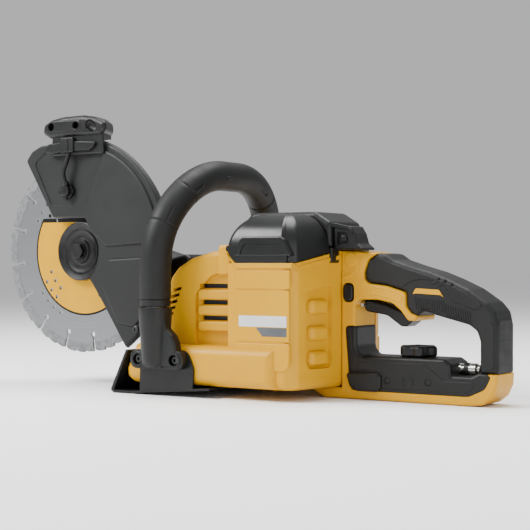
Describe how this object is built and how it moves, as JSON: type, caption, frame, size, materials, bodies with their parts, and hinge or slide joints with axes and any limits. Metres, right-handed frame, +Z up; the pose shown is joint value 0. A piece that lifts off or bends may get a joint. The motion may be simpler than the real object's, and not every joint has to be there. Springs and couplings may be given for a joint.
{
  "type": "battery rescue saw",
  "caption": "Hand-held battery rescue saw: diamond cutting disc under a swinging guard, hoop front handle, boxy yellow casing, and a closed rear handle with trigger.",
  "frame": {"origin": "on the ground, under the middle of the saw's bounding box", "axes": "+X back to the rear handle, +Y to the operator's right, away from the blade's outer face, +Z up"},
  "size_m": [0.61, 0.2446, 0.3033],
  "materials": {
    "yellow_plastic": "moulded, satin",
    "black_plastic": "moulded, fine grain",
    "grip_rubber": "overmoulded, matt",
    "steel": "machined",
    "dark_steel": "blackened",
    "cast_alloy": "black powder coat on cast alloy",
    "copper": "windings and laminations",
    "brass": "turned",
    "label_film": "printed film, left blank"
  },
  "bodies": {
    "chassis": {"housing_left": "yellow_plastic", "housing_right": "yellow_plastic", "handle_frame_left": "yellow_plastic", "handle_frame_right": "yellow_plastic", "top_cover": "black_plastic", "battery_dock": "black_plastic", "terminal_block": "black_plastic", "handle_bracket_left": "black_plastic", "handle_bracket_right": "black_plastic", "lower_panel_left": "black_plastic", "lower_panel_right": "black_plastic", "switch_module": "black_plastic", "rear_bearing_carrier": "black_plastic", "front_handle_grip": "grip_rubber", "rear_grip": "grip_rubber", "spindle_front_bearing": "steel", "spindle_rear_bearing": "steel", "motor_front_bearing": "steel", "motor_rear_bearing": "steel", "front_handle_tube": "steel", "bracket_screw_left_1": "steel", "bracket_screw_left_2": "steel", "bracket_screw_right_1": "steel", "bracket_screw_right_2": "steel", "trigger_pin": "steel", "skid_plate": "dark_steel", "gear_case": "cast_alloy", "gear_case_cover": "cast_alloy", "controller_module": "cast_alloy", "stator": "copper", "water_valve_body": "brass", "hose_coupler": "brass"},
    "guard": {"guard_left_half": "cast_alloy", "guard_right_half": "cast_alloy", "guard_handle": "black_plastic", "guard_clamp_ring": "steel", "guard_screw_1": "steel", "guard_screw_2": "steel", "guard_screw_3": "steel", "hose_clip": "black_plastic", "water_hose": "grip_rubber", "spray_nozzle_left": "black_plastic", "spray_nozzle_right": "black_plastic"},
    "blade": {"diamond_blade": "steel", "blade_label": "label_film", "outer_flange": "dark_steel", "inner_flange": "dark_steel", "flange_bolt": "steel", "spindle": "steel", "bevel_gear": "dark_steel"},
    "rotor": {"rotor_core": "dark_steel", "motor_shaft": "steel", "cooling_fan": "black_plastic", "pinion_gear": "dark_steel"},
    "trigger": {"trigger": "black_plastic"},
    "lock_off_button": {"lock_off_button": "black_plastic"},
    "spindle_lock": {"spindle_lock_button": "black_plastic"},
    "water_knob": {"water_valve_knob": "black_plastic"},
    "battery": {"battery_pack": "black_plastic"},
    "battery_latch": {"battery_latch": "grip_rubber"}
  },
  "joints": [
    {"name": "blade_spin", "type": "hinge", "parent": "chassis", "child": "blade", "pos_m": [-0.19, -0.041, 0.1505], "axis": [0, 1, 0], "continuous": true},
    {"name": "rotor_spin", "type": "hinge", "parent": "chassis", "child": "rotor", "pos_m": [-0.19, 0, 0.1505], "axis": [0.9636, 0, -0.2672], "continuous": true},
    {"name": "guard_swing", "type": "hinge", "parent": "chassis", "child": "guard", "pos_m": [-0.19, -0.041, 0.1505], "axis": [0, 1, 0], "range_deg": [-40, 20]},
    {"name": "trigger_pull", "type": "hinge", "parent": "chassis", "child": "trigger", "pos_m": [0.1575, 0, 0.0945], "axis": [0, -1, 0], "range_deg": [0, 11], "stiffness_Nm_per_rad": 0.4, "springref_deg": -8.59},
    {"name": "lock_off_press", "type": "slide", "parent": "chassis", "child": "lock_off_button", "axis": [0, 1, 0], "range_m": [0, 0.0022], "stiffness_N_per_m": 500, "springref_m": -0.002},
    {"name": "spindle_lock_press", "type": "slide", "parent": "chassis", "child": "spindle_lock", "axis": [0, 0, -1], "range_m": [0, 0.0045], "stiffness_N_per_m": 600, "springref_m": -0.002},
    {"name": "water_knob_turn", "type": "hinge", "parent": "chassis", "child": "water_knob", "pos_m": [0.212, 0, 0.0495], "axis": [0, 0, 1], "range_deg": [0, 90]},
    {"name": "battery_slide", "type": "slide", "parent": "chassis", "child": "battery", "axis": [0, 0, 1], "range_m": [0, 0.11]},
    {"name": "battery_latch_press", "type": "slide", "parent": "battery", "child": "battery_latch", "axis": [-1, 0, 0], "range_m": [0, 0.003], "stiffness_N_per_m": 500, "springref_m": -0.002}
  ],
  "couplings": [
    {"joint": "rotor_spin", "follows": "blade_spin", "ratio": 3}
  ]
}
